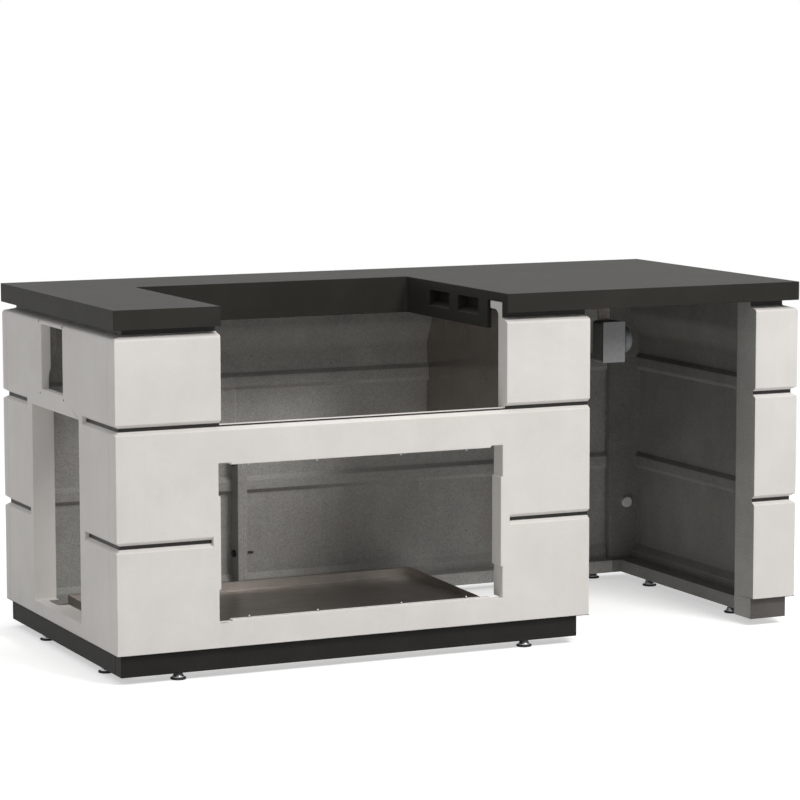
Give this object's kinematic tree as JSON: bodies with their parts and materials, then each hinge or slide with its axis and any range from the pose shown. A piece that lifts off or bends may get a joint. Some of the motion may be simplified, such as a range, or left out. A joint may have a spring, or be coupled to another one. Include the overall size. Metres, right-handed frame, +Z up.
{
  "type": "outdoor kitchen island",
  "caption": "Cast cement outdoor kitchen island with a dark counter, a built-in grill cut-out over a door opening, and an open bay for an undercounter fridge.",
  "frame": {"origin": "centre of the bounding box at the floor", "axes": "+X to the right along the front, +Y to the back, +Z up; the front with the grill cut-out faces -Y"},
  "size_m": [1.927, 0.884, 0.922],
  "materials": {
    "cement": "pale cast cement, matt, with small pinholes; charcoal backing inside",
    "dark_cement": "dark cast cement, sealed, satin",
    "brushed_steel": "brushed stainless sheet",
    "zinc": "zinc-plated steel",
    "cast_box": "cast metal with grey powder coat",
    "pale_plastic": "moulded, satin",
    "black_rubber": "moulded, matt"
  },
  "bodies": {
    "island": {"counter": "dark_cement", "front_panel": "cement", "front_post": "cement", "left_end_panel": "cement", "right_end_panel": "cement", "back_panel_left": "cement", "back_panel_right": "cement", "cabinet_tray": "brushed_steel", "heat_shield": "brushed_steel", "outlet_box": "cast_box", "outlet_cover": "cast_box", "outlet_hub": "cast_box", "outlet_bracket": "zinc", "bolt_cap": "pale_plastic", "joint_bolt_1": "zinc", "joint_bolt_2": "zinc", "corner_bolt_front_left_1": "zinc", "corner_bolt_front_left_2": "zinc", "corner_bolt_back_left_1": "zinc", "corner_bolt_back_left_2": "zinc", "corner_bolt_front_right_1": "zinc", "corner_bolt_front_right_2": "zinc", "corner_bolt_back_right_1": "zinc", "corner_bolt_back_right_2": "zinc"},
    "foot_front_1": {"foot_stud_front_1": "zinc", "foot_pad_front_1": "black_rubber"},
    "foot_front_2": {"foot_stud_front_2": "zinc", "foot_pad_front_2": "black_rubber"},
    "foot_left_1": {"foot_stud_left_1": "zinc", "foot_pad_left_1": "black_rubber"},
    "foot_left_2": {"foot_stud_left_2": "zinc", "foot_pad_left_2": "black_rubber"},
    "foot_right_1": {"foot_stud_right_1": "zinc", "foot_pad_right_1": "black_rubber"},
    "foot_right_2": {"foot_stud_right_2": "zinc", "foot_pad_right_2": "black_rubber"},
    "foot_back_1": {"foot_stud_back_1": "zinc", "foot_pad_back_1": "black_rubber"},
    "foot_back_2": {"foot_stud_back_2": "zinc", "foot_pad_back_2": "black_rubber"},
    "foot_back_3": {"foot_stud_back_3": "zinc", "foot_pad_back_3": "black_rubber"}
  },
  "joints": [
    {"name": "level_front_1", "type": "slide", "parent": "island", "child": "foot_front_1", "axis": [0, 0, -1], "range_m": [0, 0.02]},
    {"name": "level_front_2", "type": "slide", "parent": "island", "child": "foot_front_2", "axis": [0, 0, -1], "range_m": [0, 0.02]},
    {"name": "level_left_1", "type": "slide", "parent": "island", "child": "foot_left_1", "axis": [0, 0, -1], "range_m": [0, 0.02]},
    {"name": "level_left_2", "type": "slide", "parent": "island", "child": "foot_left_2", "axis": [0, 0, -1], "range_m": [0, 0.02]},
    {"name": "level_right_1", "type": "slide", "parent": "island", "child": "foot_right_1", "axis": [0, 0, -1], "range_m": [0, 0.02]},
    {"name": "level_right_2", "type": "slide", "parent": "island", "child": "foot_right_2", "axis": [0, 0, -1], "range_m": [0, 0.02]},
    {"name": "level_back_1", "type": "slide", "parent": "island", "child": "foot_back_1", "axis": [0, 0, -1], "range_m": [0, 0.02]},
    {"name": "level_back_2", "type": "slide", "parent": "island", "child": "foot_back_2", "axis": [0, 0, -1], "range_m": [0, 0.02]},
    {"name": "level_back_3", "type": "slide", "parent": "island", "child": "foot_back_3", "axis": [0, 0, -1], "range_m": [0, 0.02]}
  ]
}
